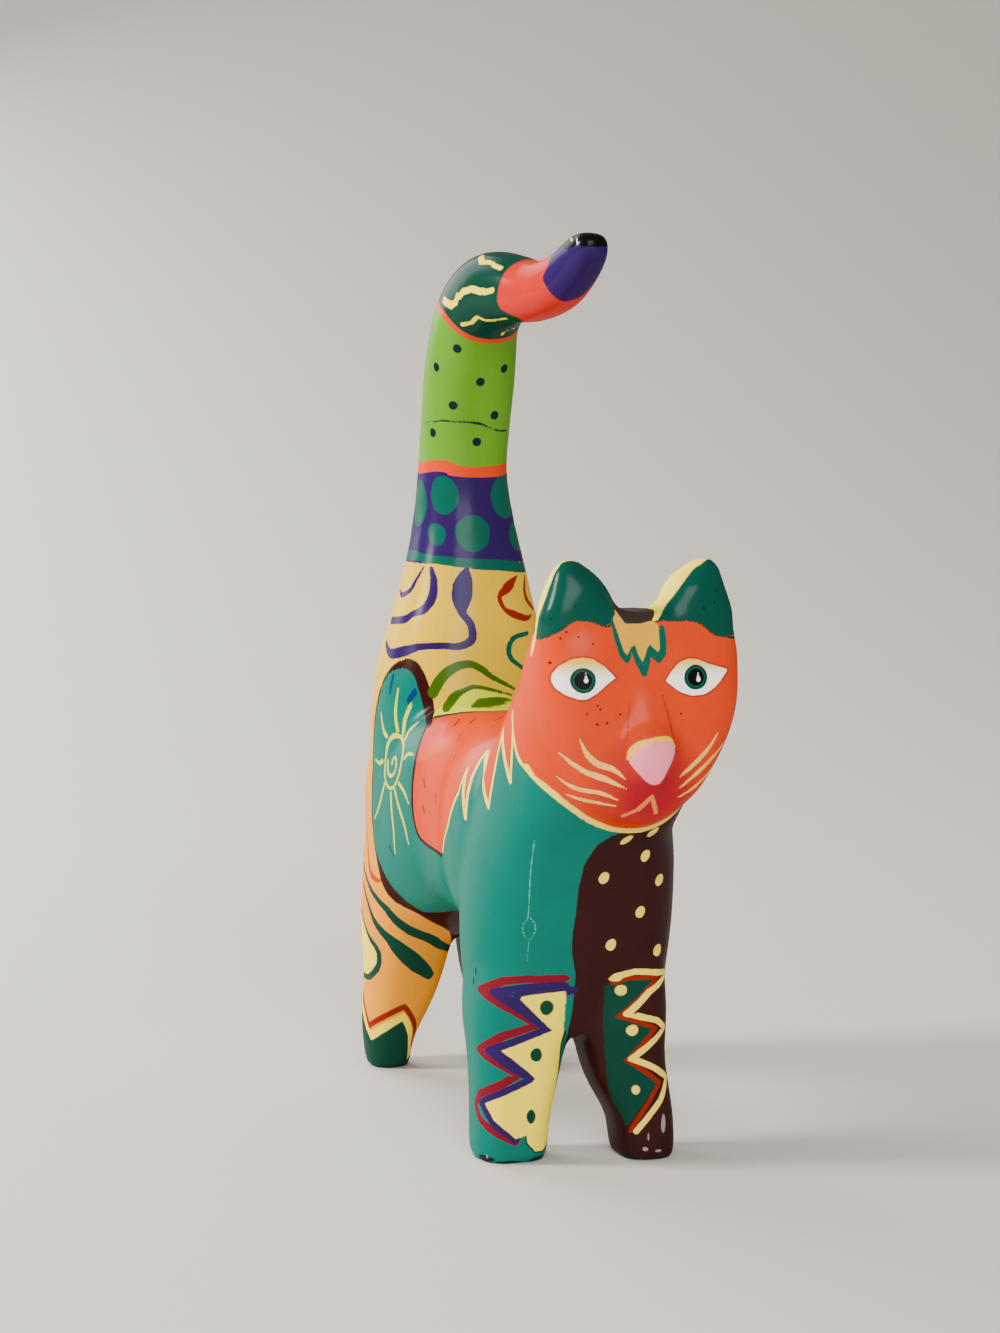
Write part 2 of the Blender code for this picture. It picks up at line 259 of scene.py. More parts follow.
face = Chart(from_front, in_face & (backwards < FACING_BACK))
head_back = Chart(from_front, in_face & (backwards >= FACING_BACK))
chest = Chart(from_front, in_front)
tail = Chart(unroll_tail, in_tail)
jaw = Chart(from_front, in_jaw)
cheeks = Chart(from_side, in_cheeks & (along < CHEEK_BACK))
tip = Chart(from_side, (along < TIP_BACK) & (height > TIP_LOW))
ear_sides, flanks, front_legs, hind_legs = {}, {}, {}, {}
for side in (RIGHT, LEFT):
    outward = side * across
    in_ear = (outward > EAR_INNER[side]) & (along < EAR_BACK) & (height > EAR_LOW)
    ear_sides[side] = Chart(from_side, in_ear)
    in_trunk = (outward > 0) & (height > TRUNK_LOW) & (height < HEAD_TOP) & ~in_face & ~in_throat
    flanks[side] = Chart(unroll_flank, in_trunk)
    in_front_leg = (outward > FRONT_LEG_INNER) & (along < 0) & (height < FRONT_LEG_TOP)
    unroll = leg_unroller(FRONT_POSTS[side], FRONT_LEG_RADIUS, side)
    front_legs[side] = Chart(unroll, in_front_leg)
    in_hind_leg = (outward > 0) & (along > HIND_LEG_FRONT) & (height < HIND_LEG_TOP)
    unroll = leg_unroller(HIND_POSTS[side], HIND_LEG_RADIUS, side)
    hind_legs[side] = Chart(unroll, in_hind_leg)
print("quads of the face, chest and tail:", len(face.quads), len(chest.quads), len(tail.quads))

# %% [markdown]
# ## Brushes
#
# Each layer of paint keeps one shape for each quad: the dot, line or edge that reaches deepest into
# it. It is kept as three numbers at each corner, and its half width beside its colour. From these
# the shader works out how far any point in the quad is from the shape, so a line stays sharp at any
# zoom, with no image at all.
#
# A line is a row of short pieces with round ends. Along the piece and across it, the distances are
# counted in half widths, so a point is under paint when its distance is below one.

# %% Layers, dots, lines and patches
# How far from a shape its quads are looked for, in millimetres
REACH = 1.6
# How many pieces a flowing line has between two of its knots
STEPS = 9
# The distance that a quad without a shape is given, in half widths
OUTSIDE = 9.0
THINNEST = 0.05
NO_LENGTH = 1e-6
TINY = 1e-9


class Layer:
    """One coat of paint, which shows over the layers made before it."""

    def __init__(self, name):
        self.name = name
        self.depth = np.full(len(quads), -REACH)
        self.shape = np.zeros((len(quads), 4, 3))
        self.shape[..., 1] = OUTSIDE
        self.colour = np.ones((len(quads), 4, 4))

    def put(self, chosen, lengthways, crossways, half_length, size, colour):
        """Gives a shape to the quads in which it reaches deeper than the layer's other shapes.

        The colour's fourth number is the shape's half width, in millimetres.
        """
        beyond = np.maximum(np.abs(lengthways.mean(axis=1)) - half_length, 0)
        depth = size * (1 - np.hypot(beyond, crossways.mean(axis=1)))
        better = depth > self.depth[chosen]
        chosen = chosen[better]
        self.depth[chosen] = depth[better]
        self.shape[chosen, :, 0] = lengthways[better]
        self.shape[chosen, :, 1] = crossways[better]
        self.shape[chosen, :, 2] = half_length
        self.colour[chosen] = colour if np.ndim(colour) == 1 else colour[better]
        self.colour[chosen, :, 3] = size


def dot(layer, chart, colour, place, radii, lean=0.0):
    """A round or oval dot. lean turns it, in degrees."""
    wide, tall = radii
    near = chart.near(place, max(radii) + REACH)
    away = chart.corners[near] - place
    cosine, sine = math.cos(math.radians(lean)), math.sin(math.radians(lean))
    first = (away[..., 0] * cosine + away[..., 1] * sine) / wide
    second = (away[..., 1] * cosine - away[..., 0] * sine) / tall
    layer.put(chart.quads[near], first, second, 0.0, min(radii), colour)


def flowing(knots):
    """More knots between the given ones, on a smooth curve through them."""
    knots = np.array(knots, dtype=float)
    ends = np.vstack([2 * knots[0] - knots[1], knots, 2 * knots[-1] - knots[-2]])
    found = []
    for before, start, end, after in zip(ends, ends[1:], ends[2:], ends[3:]):
        for t in np.arange(STEPS) / STEPS:
            bend = (2 * before - 5 * start + 4 * end - after) * t * t
            twist = (3 * start - before - 3 * end + after) * t**3
            found.append(0.5 * (2 * start + (end - before) * t + bend + twist))
    return np.array([*found, knots[-1]])


def line(layer, chart, colour, knots, straight=False):
    """A brush line through knots of two chart numbers and a width."""
    knots = np.array(knots, dtype=float) if straight else flowing(knots)
    for (u0, v0, w0), (u1, v1, w1) in zip(knots, knots[1:]):
        middle = np.array([(u0 + u1) / 2, (v0 + v1) / 2])
        length = math.hypot(u1 - u0, v1 - v0)
        if length < NO_LENGTH:
            continue
        half_width = max((w0 + w1) / 4, THINNEST)
        way = np.array([u1 - u0, v1 - v0]) / length
        near = chart.near(middle, length / 2 + half_width + REACH)
        away = chart.corners[near] - middle
        lengthways = away @ way / half_width
        crossways = (away[..., 1] * way[0] - away[..., 0] * way[1]) / half_width
        layer.put(chart.quads[near], lengthways, crossways, length / 2 / half_width, half_width, colour)


def patch(layer, chart, colour, outline, straight=True):
    """A filled shape inside a closed outline of chart points. Its colour may depend on the height."""
    outline = np.array(outline, dtype=float)
    if not straight:
        outline = flowing(np.vstack([outline, outline[:1]]))[:-1]
    low, high = outline.min(axis=0) - REACH, outline.max(axis=0) + REACH
    near = np.nonzero(((chart.middles > low) & (chart.middles < high)).all(axis=1))[0]
    points = chart.corners[near]
    distance = np.full(points.shape[:-1], np.inf)
    inside = np.zeros(points.shape[:-1], dtype=bool)
    for start, end in zip(outline, np.roll(outline, -1, axis=0)):
        step = end - start
        away = points - start
        share = np.clip(away @ step / max(step @ step, TINY), 0, 1)
        distance = np.minimum(distance, np.linalg.norm(away - share[..., None] * step, axis=-1))
        rises = (start[1] > points[..., 1]) != (end[1] > points[..., 1])
        crossing = start[0] + (points[..., 1] - start[1]) * step[0] / (step[1] or TINY)
        inside ^= rises & (points[..., 0] < crossing)
    edge = np.maximum(1 - np.where(inside, distance, -distance), 0)
    if callable(colour):
        colour = colour(points[..., 1])
    layer.put(chart.quads[near], np.zeros_like(edge), edge, 0.0, 1.0, colour)


def fade(low_colour, high_colour, low, high):
    """A colour that goes from one to the other between two heights of a chart."""

    def at(level):
        share = np.clip((level - low) / (high - low), 0, 1)[..., None]
        return (1 - share) * np.array(low_colour) + share * np.array(high_colour)

    return at


def rgb(red, green, blue):
    """A linear colour from the 0 to 255 values of a colour picker."""
    shares = np.array([red, green, blue]) / 255
    linear = np.where(shares <= 0.04045, shares / 12.92, ((shares + 0.055) / 1.055) ** 2.4)
    return (*linear, 1.0)


# %% The paints
ORANGE = rgb(202, 56, 14)
DEEP_ORANGE = rgb(160, 44, 20)
DASH_RED = rgb(112, 22, 10)
MAGENTA = rgb(150, 8, 36)
TEAL = rgb(2, 102, 90)
EAR_TEAL = rgb(2, 66, 55)
PALE_TEAL = rgb(70, 160, 136)
DARK_GREEN = rgb(3, 56, 43)
SEA_GREEN = rgb(5, 82, 67)
LIME = rgb(86, 142, 28)
LEAF = rgb(54, 88, 10)
PALE_LIME = rgb(196, 204, 40)
YELLOW = rgb(212, 174, 24)
PALE_YELLOW = rgb(246, 220, 44)
GOLD = rgb(212, 156, 44)
LID = rgb(230, 186, 50)
AMBER = rgb(224, 144, 14)
CREAM = rgb(244, 210, 78)
PEACH = rgb(242, 178, 92)
PEACH_DARK = rgb(218, 124, 58)
CORAL = rgb(190, 36, 26)
RED = rgb(128, 28, 14)
CRIMSON = rgb(112, 14, 34)
PURPLE = rgb(40, 20, 78)
MAROON = rgb(46, 12, 12)
BROWN = rgb(46, 18, 18)
# The dark grey-brown laid over the crown between the ears
CROWN_GREY = rgb(50, 42, 40)
# Pale grey for the painted highlights on the worn feet
HIGHLIGHT_GREY = rgb(140, 130, 124)
PINK = rgb(238, 130, 152)
WHITE = rgb(255, 252, 244)
BLACK = rgb(8, 8, 10)
INK = rgb(10, 30, 36)
BLUE = rgb(12, 48, 90)

ground, patches, fills, lines, motifs, touches, glints = (
    Layer(name) for name in ("ground", "patches", "fills", "lines", "motifs", "touches", "glints")
)
painted = (patches, fills, lines, motifs, touches, glints)


def tell(step):
    """Prints how many quads each layer has reached so far."""
    print(f"after {step}:", {layer.name: int((layer.depth > -REACH).sum()) for layer in painted})


print("layers of paint over the ground:", len(painted))

# %% [markdown]
# ## Ground colours
#
# The painter first blocks in the big areas. Here each quad takes its ground colour from where it is
# on the cat. Where two grounds meet, a line or a patch of a later layer covers the join.

# %% Ground colours
COATS = {RIGHT: TEAL, LEFT: BROWN}
SKIRT_START, RUMP_COLOUR_STARTS = (36, 30), ((10, 78), (50, 60))
RUMP_FADE = (60, 84)
HIND_LEG_COLOUR_FRONT, HIND_LEG_COLOUR_TOP = 22, 44
HEAD_LOW = 84
# Heights of the tail's two colour changes, the upper one counted along its bent axis
TEAL_LINE, RING = 110.5, 131


def ground_colour(where, colour):
    ground.colour[where] = colour


for side, coat in COATS.items():
    ground_colour(side * across > 0, coat)
ground_colour(behind_and_above([SKIRT_START]), AMBER)
rump = behind_and_above(RUMP_COLOUR_STARTS)
ground_colour(rump, fade(AMBER, YELLOW, *RUMP_FADE)(quads[rump, :, 2]))
ground_colour((along > HIND_LEG_COLOUR_FRONT) & (height < HIND_LEG_COLOUR_TOP), AMBER)
ground_colour((height > TEAL_LINE) & (along > 0), PURPLE)
stretch = np.zeros(len(quads))
stretch[tail.quads] = tail.middles[:, 1]
ground_colour(stretch > RING, LIME)
ground_colour(in_face | (height > HEAD_LOW) & (height < HEAD_TOP) & (along < 0), ORANGE)
print("ground colours:", len(np.unique(ground.colour[:, 0, :3].round(2), axis=0)))

# %% [markdown]
# ## The coat: chest, saddle and haunch
#
# The right shoulder is teal and the left one brown, and they meet down the chest. The orange saddle
# has a toothed front edge, laid in as a patch and then gone over with a cream line.

# %% Chest and saddle
CHEST_JOIN = (
    (3, 68), (1.4, 65.8), (-1, 65.1), (-3.4, 63.2), (-5, 59.7), (-5.5, 54.6), (-5.4, 48.9), (-5.7, 45.4),
    (-5.4, 41.8), (-4.3, 37.6), (-4, 30.4), (-4.4, 26.3), (-4, 20),
)
CHEST_DOTS = ((-0.8, 56.6), (11.5, 55.1), (7.7, 49.2), (2.2, 43.1), (12.8, 40.9), (7.2, 60.5))
# A pale drip in the varnish, which ends in a loop
DRIP = (
    (-14.3, 64.2), (-14.3, 57.8), (-14, 49.4), (-14.7, 47.6), (-14.4, 45.5), (-13.5, 44.6), (-12.7, 45.9),
    (-12.7, 47.7), (-13.6, 48.9),
)
DRIP_TAIL = ((-13.5, 44.6), (-13.5, 40.5))
CHEST_DOT, CHEST_DOT_LEAN = (1.0, 1.15), -15
DRIP_WIDTH = 0.16
CHIN_LEAN = 35
BROWN_CORNERS = ((30, 20), (30, 90), (3, 90))
# Ovals of the chin and of the later cells: two chart numbers, half width and half height
CHIN_OVALS = ((2.3, 64.1, 1.3, 0.6), (7.6, 65.3, 1.3, 0.6))
TEETH = (
    (-9, -3.2, 0.8), (-15.6, 2.7, 0.9), (-19.9, 9.3, 1.1), (-19.6, 13.6, 0.6), (-25.3, 5.6, 1.5),
    (-22.3, 17.9, 0.6), (-37, 9.2, 1.5), (-38.3, 19.6, 0.6), (-45.4, 14.5, 1.3), (-45, 20.1, 0.8),
)
SADDLE_LOW = (
    (27.5, 17.5), (26.4, 13.6), (25.8, 9.2), (25.4, 2.7), (24.2, -3.2), (21.5, -6.4), (13.9, -7.4),
    (3, -6.6), (-6.6, -4.2),
)
SADDLE_TOP = ((29.5, 21.2), (25, 23.5), (20.5, 26.5), (15.5, 29), (13, 34))
DASHES = (
    (18, 23), (7.9, 20), (11.8, 24.8), (20.1, 8.2), (19.6, 1.8), (10.4, 5.8), (3.5, 3.7), (-2, 15),
    (1, 27), (-14, 24),
)
SPINE = 36
SADDLE_CORNERS = ((-60, 26), (-60, SPINE), (13, SPINE))
SADDLE_LOW_LINE, SADDLE_TOP_LINE = 0.9, 0.8
TOOTH_SHADE, TOOTH_SHADE_WIDTH = (0.7, 0.2), 0.4
DASH_HALF, DASH_WIDTHS = (0.6, 0.8), (0.4, 0.9)


def wide(points, width):
    """The same points, each with this line width."""
    return [(*point, width) for point in points]


def places(knots):
    """The knots of a line without their widths."""
    return [(u, v) for u, v, _ in knots]


def moved(points, by):
    """The same points, all moved by two chart numbers."""
    return [(u + by[0], v + by[1]) for u, v in points]


def ovals(layer, chart, colour, rows, lean=0.0):
    for u, v, wide_by, tall_by in rows:
        dot(layer, chart, colour, (u, v), (wide_by, tall_by), lean)


def stroke(chart, colour, ends, widths):
    """A straight touch of the brush, with a width at each end."""
    line(touches, chart, colour, [(*end, width) for end, width in zip(ends, widths)], straight=True)


ground_colour(in_front, TEAL)
patch(patches, chest, BROWN, [*CHEST_JOIN, *BROWN_CORNERS])
for spot in CHEST_DOTS:
    dot(motifs, chest, CREAM, spot, CHEST_DOT, CHEST_DOT_LEAN)
for drip in (DRIP, DRIP_TAIL):
    line(motifs, chest, PALE_TEAL, wide(drip, DRIP_WIDTH))
ovals(motifs, chest, CREAM, CHIN_OVALS, CHIN_LEAN)

for flank in flanks.values():
    teeth = places(TEETH)
    patch(fills, flank, ORANGE, [*teeth, *SADDLE_CORNERS, *SADDLE_TOP[::-1], *SADDLE_LOW])
    line(motifs, flank, MAROON, wide(moved(teeth, TOOTH_SHADE), TOOTH_SHADE_WIDTH), straight=True)
    line(touches, flank, CREAM, TEETH, straight=True)
    line(lines, flank, MAROON, wide([SADDLE_TOP[0], *SADDLE_LOW, teeth[0]], SADDLE_LOW_LINE))
    line(lines, flank, DARK_GREEN, wide(SADDLE_TOP, SADDLE_TOP_LINE))
    for dash in np.array(DASHES):
        stroke(flank, DASH_RED, (dash - DASH_HALF, dash + DASH_HALF), DASH_WIDTHS)
tell("the chest and saddle")

# %% Haunch and sun
HAUNCH_TOP = (
    (27.6, 19.8, 1.4), (32.4, 22, 2.3), (34.6, 23.4, 1.9), (37, 23.6, 1.1), (41.5, 22, 0.6),
    (44.6, 20.4, 0.5),
)
HAUNCH_BACK = (
    (47, 18), (49.2, 13.5), (50.4, 7), (50, 0.5), (49.2, -6), (48, -11), (45, -15), (41, -19), (36, -24),
)
HAUNCH_CORNERS = ((20, -30), (-10, -30), (-10, 10))
HAUNCH_LINE, HAUNCH_LINE_LOW, LOW_KNOTS = 0.7, 1.8, 3
BELLY_EDGE = ((36, -24, 2.4), (28, -27, 3), (20, -30, 3))
RUMP_STROKE = ((56, 4, 0.3), (56.5, -6, 0.6), (53, -13.6, 0.9), (48, -15.4, 0.7), (45.5, -15.5, 0.3))
SUN_PLACE = np.array([37.6, 9.5])
SUN_RADIUS, SUN_STRETCH, SUN_LINE = 4.8, (1, 1.15), 0.8
RING_STEP = 30
CURL_START, CURL_GROWTH = 0.6, 0.45
CURL_TURNS = np.arange(0, 7, 0.7)
RAY_START, RAY_SAG = 1.3 * SUN_RADIUS, 0.06
# Each ray of the sun: its direction in degrees and its reach
SUN_RAYS = (
    (81, 11), (98, 11), (114, 10.5), (160, 10.4), (215, 13), (240, 20), (264, 20), (306, 17), (356, 10.5),
    (44, 10),
)
BLUE_WIDTHS = (0.9, 0.5)
# Each blue dash: both ends
BLUE_DASHES = (
    ((35.6, 22), (36.6, 20.4)),
    ((32.4, 19.9), (32.9, 18.6)),
    ((38.2, -9), (36.6, -11)),
    ((41.5, 21), (41.8, 19.5)),
)


def way_at(turn):
    """A step of one millimetre in a direction, given in radians."""
    return np.array([math.cos(turn), math.sin(turn)])


def paint_sun(flank):
    """A ring with a curl in it, and rays that sag a little."""
    turns = np.radians(np.arange(0, 361, RING_STEP))
    ring = [SUN_PLACE + SUN_RADIUS * way_at(turn) * SUN_STRETCH for turn in turns]
    curl = [SUN_PLACE + (CURL_START + CURL_GROWTH * turn) * way_at(turn) for turn in CURL_TURNS]
    for knots in (ring, curl):
        line(motifs, flank, PALE_LIME, wide(knots, SUN_LINE))
    for turn, reach in SUN_RAYS:
        way = way_at(math.radians(turn))
        sag = RAY_SAG * reach * np.array([way[1], -way[0]])
        # Each knot: the share of the reach, the share of the sag and the width
        knots = ((RAY_START / reach, 0, 0.9), (0.75, 0.8, 0.8), (1, 0, 0.4))
        ray = [(*(SUN_PLACE + share * reach * way + bend * sag), width) for share, bend, width in knots]
        line(motifs, flank, PALE_LIME, ray)


for side, flank in flanks.items():
    back = flowing([*places(HAUNCH_TOP), *HAUNCH_BACK])
    patch(patches, flank, COATS[side], [*back, *HAUNCH_CORNERS])
    line(lines, flank, MAROON, BELLY_EDGE)
    upper = wide(HAUNCH_BACK[:-LOW_KNOTS], HAUNCH_LINE)
    lower = wide(HAUNCH_BACK[-LOW_KNOTS:], HAUNCH_LINE_LOW)
    line(lines, flank, MAROON, [*HAUNCH_TOP, *upper, *lower])
    paint_sun(flank)
    for dash in BLUE_DASHES:
        stroke(flank, BLUE, dash, BLUE_WIDTHS)
    line(fills, flank, DEEP_ORANGE, RUMP_STROKE)
tell("the haunch")

# %% [markdown]
# ## Rump and tail
#
# Behind the saddle the yellow rump carries purple curls and green leaves. A teal line, an orange
# ring and an arc divide the tail, and its tip turns coral, purple and at last a worn black.

# %% Curls and leaves on the rump
CURLS = (
    ((-12, 109.6, 0.5), (-14, 107.3, 0.8), (-16.6, 104.8, 1.1), (-20.5, 103.6, 1.2), (-23, 104.5, 0.6)),
    (
        (-10, 109.3, 1.1), (-9.6, 106.8, 1.7), (-10.1, 103.9, 2.0), (-12.1, 101.3, 1.8),
        (-15.4, 100, 1.3), (-18, 98.8, 1.6), (-25, 98, 1.6),
    ),
    (
        (-2.6, 109.3, 1.0), (-3.8, 105, 4.2), (-4.1, 101, 1.9), (-2.4, 98, 1.7), (-2.5, 95.2, 1.9),
        (-4.9, 93.8, 1.7), (-9.1, 93.8, 1.5), (-13.8, 93.4, 1.6), (-18, 92.2, 2.2), (-23, 91.5, 2.0),
        (-26.5, 93.5, 1.0),
    ),
)
# The first two curls are painted once more, this far round the tail
HIDDEN_CURLS = 44
RED_CURLS = (
    (
        (8.6, 107.5, 0.5), (6.1, 105.7, 1.9), (4, 103.9, 1.1), (5.1, 101.3, 1.0), (7.8, 99.9, 1.6),
        (11, 99.1, 1.2), (13, 99.5, 0.6),
    ),
    ((12, 107.4, 0.6), (11, 104.8, 1.1), (12, 102.5, 1.1), (15, 100.6, 0.8)),
)
GREEN_LOOP = ((11, 96, 0.9), (7.1, 95.2, 1.2), (5.8, 92.9, 1.3), (6.5, 90.7, 1.2), (9.5, 88.6, 0.9))
LEAVES = (
    (
        (-11.4, 84, 2.2), (-9.5, 86.9, 2.2), (-6.8, 89.1, 2.0), (-3.5, 90, 1.6), (-0.8, 89, 1.5),
        (1.9, 87.1, 1.2), (6.8, 84.6, 0.6),
    ),
    (
        (-8.2, 81.5, 1.9), (-6.8, 83.4, 1.8), (-5.1, 84.4, 1.2), (-2.4, 85.3, 0.9), (1.8, 84.5, 0.7),
        (5.7, 83.4, 0.4),
    ),
    ((-3.7, 82, 0.4), (-1.5, 82.6, 1.0), (2.4, 82.8, 0.8), (4.6, 82.6, 0.4)),
)
GRASS = ((-11, 79.5), (-8.2, 82.4), (-5.1, 84), (-2.4, 84.9), (1.8, 84.2), (8, 82.6), (8, 80), (0, 79))

patch(patches, tail, PALE_LIME, GRASS)
for curl in CURLS:
    line(lines, tail, PURPLE, curl)
for curl in CURLS[:2]:
    line(lines, tail, PURPLE, [(HIDDEN_CURLS + u, v, width) for u, v, width in curl])
for curl in RED_CURLS:
    line(lines, tail, RED, curl)
line(lines, tail, SEA_GREEN, GREEN_LOOP)
for leaf in LEAVES:
    line(motifs, tail, LEAF, leaf)
tell("the rump")

# %% Bands and spots of the tail
TEAL_BAND = (
    (-42, 111, 2), (-30, 111.5, 2), (-16.5, 112, 2), (-11.5, 111.5, 1.7), (-6, 110.9, 1.8),
    (-1, 110.3, 2.2), (4.5, 110, 2.3), (13, 109.3, 2.2), (30, 110.6, 2), (42, 111, 2),
)
RING_BAND = (
    (-30, 131, 2.6), (-15.5, 130.4, 2.4), (-7.3, 131.9, 2.7), (-3.2, 130.9, 3.0), (1.3, 130.6, 3.1),
    (9.5, 130.9, 3.0), (30, 131, 2.6),
)
ARC_BAND = (
    (-30, 160.5, 1.2), (-17.4, 163.5, 1.3), (-10.6, 166.7, 1.4), (-4, 167.4, 1.3), (2.8, 167.7, 1.3),
    (7.6, 167.1, 1.3), (16, 164.5, 1.3), (30, 160.5, 1.2),
)
BLOBS = (
    (-6.6, 125.2, 3.1, 4.0), (7.2, 124.9, 4.0, 4.6), (-14.6, 123, 3.6, 5.0), (-8.5, 116.6, 2.1, 2.4),
    (-0.9, 117, 3.5, 4.2), (10.6, 116, 3.0, 3.2), (19, 121, 3.6, 5.0), (27, 116.5, 3.4, 4.0),
    (-22, 117, 3.2, 4.2),
)
SPOT_RADII = (0.95, 0.95)
# The spots on the lime part are painted again on its far side, moved by this
SPOTS_APART = (21, 3)
SPOTS = (
    (-5.9, 159.6), (5.1, 155.7), (-10.4, 153.9), (-0.2, 153.1), (-5.3, 146.4), (3.7, 144.5),
    (-9.6, 138.6), (0.1, 137.4),
)
CRACK = (
    (-13, 140, 0.2), (-7.7, 142.5, 0.35), (-4.1, 143, 0.3), (-1.1, 143.1, 0.45), (1.6, 142.4, 0.6),
    (4.1, 139.9, 0.5), (7.7, 139.3, 0.3),
)
BOLTS = (
    ((-20, 177, 0.9), (-17.5, 179.6, 1.3), (-17.2, 181.5, 1.2), (-15.5, 185.4, 0.8)),
    (
        (-14.5, 167.6, 1.6), (-11.5, 170, 1.5), (-10.8, 172, 1.4), (-12.2, 175.3, 1.5), (-12, 178.5, 1.3),
        (-10.7, 181.5, 1.5), (-10.8, 184.8, 1.0),
    ),
    (
        (-6.9, 169.4, 0.8), (-5.4, 171.6, 0.9), (-6.2, 177.3, 0.8), (-4.7, 178.3, 0.8),
        (-3.8, 180.4, 0.8), (-3.9, 185.7, 0.6),
    ),
    ((2.1, 169.8, 0.6), (2, 173, 0.7), (3.6, 174, 0.7), (5.5, 171.5, 0.5)),
    ((12, 171, 1.2), (14, 175, 1.3), (13, 178, 1.2), (15, 184, 1.0)),
)
CORAL_LINE = (
    (-30, 187), (-17.3, 187.6), (-12.3, 186.9), (-8.3, 186.1), (-6.6, 186.5), (-3.8, 189.6), (6, 188),
    (30, 187),
)
PURPLE_LINE = (
    (-30, 204), (-9, 203), (-7.7, 200.6), (-4, 200.3), (-0.5, 200), (2.6, 202.4), (3.5, 206), (8, 207),
    (30, 205),
)
BEYOND_TIP = ((30, 240), (-30, 240))
SCRATCH_WIDTH = 0.22
WORN_TIP = (
    (10, 174.2), (5, 174.8), (1.5, 174.1), (-1.5, 175), (-4, 174.3), (-7, 175), (-12, 174.2), (-12, 182),
    (10, 182),
)
TIP_SCRATCHES = (((-1, 176.2), (1.2, 175.5)), ((-5, 176), (-3.6, 176.6)), ((-7.2, 175.3), (-6.4, 176.4)))

line(lines, tail, SEA_GREEN, TEAL_BAND)
line(lines, tail, ORANGE, RING_BAND)
line(lines, tail, ORANGE, ARC_BAND)
patch(patches, tail, DARK_GREEN, [*places(ARC_BAND), *BEYOND_TIP])
ovals(fills, tail, SEA_GREEN, BLOBS)
for spot in (*SPOTS, *moved(SPOTS, SPOTS_APART)):
    dot(fills, tail, INK, spot, SPOT_RADII)
line(motifs, tail, INK, CRACK)
for bolt in BOLTS:
    line(motifs, tail, PALE_YELLOW, bolt, straight=True)
patch(fills, tail, CORAL, [*CORAL_LINE, *BEYOND_TIP])
patch(lines, tail, PURPLE, [*PURPLE_LINE, *BEYOND_TIP])
patch(motifs, tip, BLACK, WORN_TIP)
for scratch in TIP_SCRATCHES:
    line(touches, tip, WHITE, wide(scratch, SCRATCH_WIDTH), straight=True)
tell("the tail")

# %% [markdown]
# ## Legs
#
# Each leg is painted on its own unrolled sheet: zigzags and panels down the front legs, leaves, a
# loop and a zigzag band on the hind ones. The feet have lost some varnish, and small pale grey
# painted highlights sit on their worn places.

# %% Front legs
CRIMSON_ZIGZAG = (
    (-2.7, 36.8), (0.4, 36.8), (3.1, 36.3), (6.4, 34.2), (2.1, 30.9), (-1.5, 27.7), (3.1, 25.7),
    (7.3, 22.3), (4.3, 20.3), (0.9, 18), (3.9, 15.8), (8.2, 13.4), (10, 11), (8.6, 8.7), (4.8, 6.3),
    (1.3, 4.5),
)
PURPLE_ZIGZAG = (
    (-2.7, 35.3), (0.3, 35), (4, 34), (0.1, 30.1), (-3, 26.6), (1.1, 24.6), (5.1, 22.5), (2.1, 19.6),
    (-1.5, 16.8), (3, 14.4), (7.6, 11.8), (4.7, 7.8), (1.7, 5.5),
)
YELLOW_PANEL = (
    (-3.5, 34.3), (1.4, 33.2), (-3.3, 26.2), (3.6, 22.7), (-2.1, 16.6), (6.8, 11.9), (5.2, 8.9),
    (1.3, 5.1), (-0.9, 5.7), (-1.2, 4.1), (-3.2, 2.2), (-5.3, 2.1), (-6.8, 3.6), (-7.3, 11), (-5.9, 19),
    (-4.5, 25.8),
)
ZIGZAG_POINTS = 8
PANEL_DOTS = ((-2.1, 31, 0.72, 1.5), (-1.5, 21.6, 0.85, 1.4), (-1.6, 9.3, 0.85, 1.4))
PANEL_LEAN = -8
GREEN_PANEL = (
    (-5.9, 35), (-3.6, 35.9), (0.4, 35.8), (-4, 29.1), (0.1, 25.8), (-3.5, 19.8), (1.4, 15.3),
    (-4.3, 6.4), (-6.8, 12.1), (-6.5, 21.1), (-6.4, 28.7),
)
CREAM_ZIGZAG = (
    (-4.9, 36.2), (-4.5, 36.8), (-2.8, 37.3), (4.2, 36.2), (-0.5, 33.2), (-3.6, 29.2), (1, 27.5),
    (3, 25.8), (-3.1, 20.4), (1, 18.1), (4.2, 15.9), (2.3, 12), (-2.4, 5.9),
)
RED_ZIGZAG = (
    (-5, 35.4), (-3.6, 36.1), (1, 35.9), (-4.5, 28.8), (0.7, 26), (-3.7, 20.1), (1.9, 15.2), (-3.6, 5.9),
)
LEFT_DOTS = ((-4.4, 33.8, 0.65, 1.05), (-3, 26, 0.8, 1.05), (-2.5, 14.2, 0.7, 0.9))
FRONT_COLOUR_TOP = 40

# Worn spots in the varnish of the feet, then painted highlights on the worn places, as ovals
WORN_SPOTS = {
    RIGHT: (
        (7.8, 0.9, 2.2, 0.7), (2.6, 0.1, 3, 0.6), (-4.6, 0.4, 2.4, 0.7), (8.5, 35.4, 0.22, 0.8),
        (7.9, 37.2, 0.15, 0.6),
    ),
    LEFT: ((-4.6, 0.4, 3, 0.8), (2, 0.2, 3.2, 0.6)),
}
PAINTED_HIGHLIGHTS = {
    RIGHT: ((7, 1.4, 0.22, 0.35),),
    LEFT: ((2.8, 7.2, 0.45, 1.9), (-0.1, 4.6, 0.14, 0.7), (-0.6, 2.4, 0.5, 0.4), (2.1, 1.9, 0.6, 0.25)),
}

right, left = front_legs[RIGHT], front_legs[LEFT]
for side, leg in front_legs.items():
    ovals(motifs, leg, INK, WORN_SPOTS[side])
    # Painted highlights: small pale grey ovals on the worn places of the feet
    ovals(touches, leg, HIGHLIGHT_GREY, PAINTED_HIGHLIGHTS[side])
    ground_colour((side * across > 0) & (along < 0) & (height < FRONT_COLOUR_TOP), COATS[side])

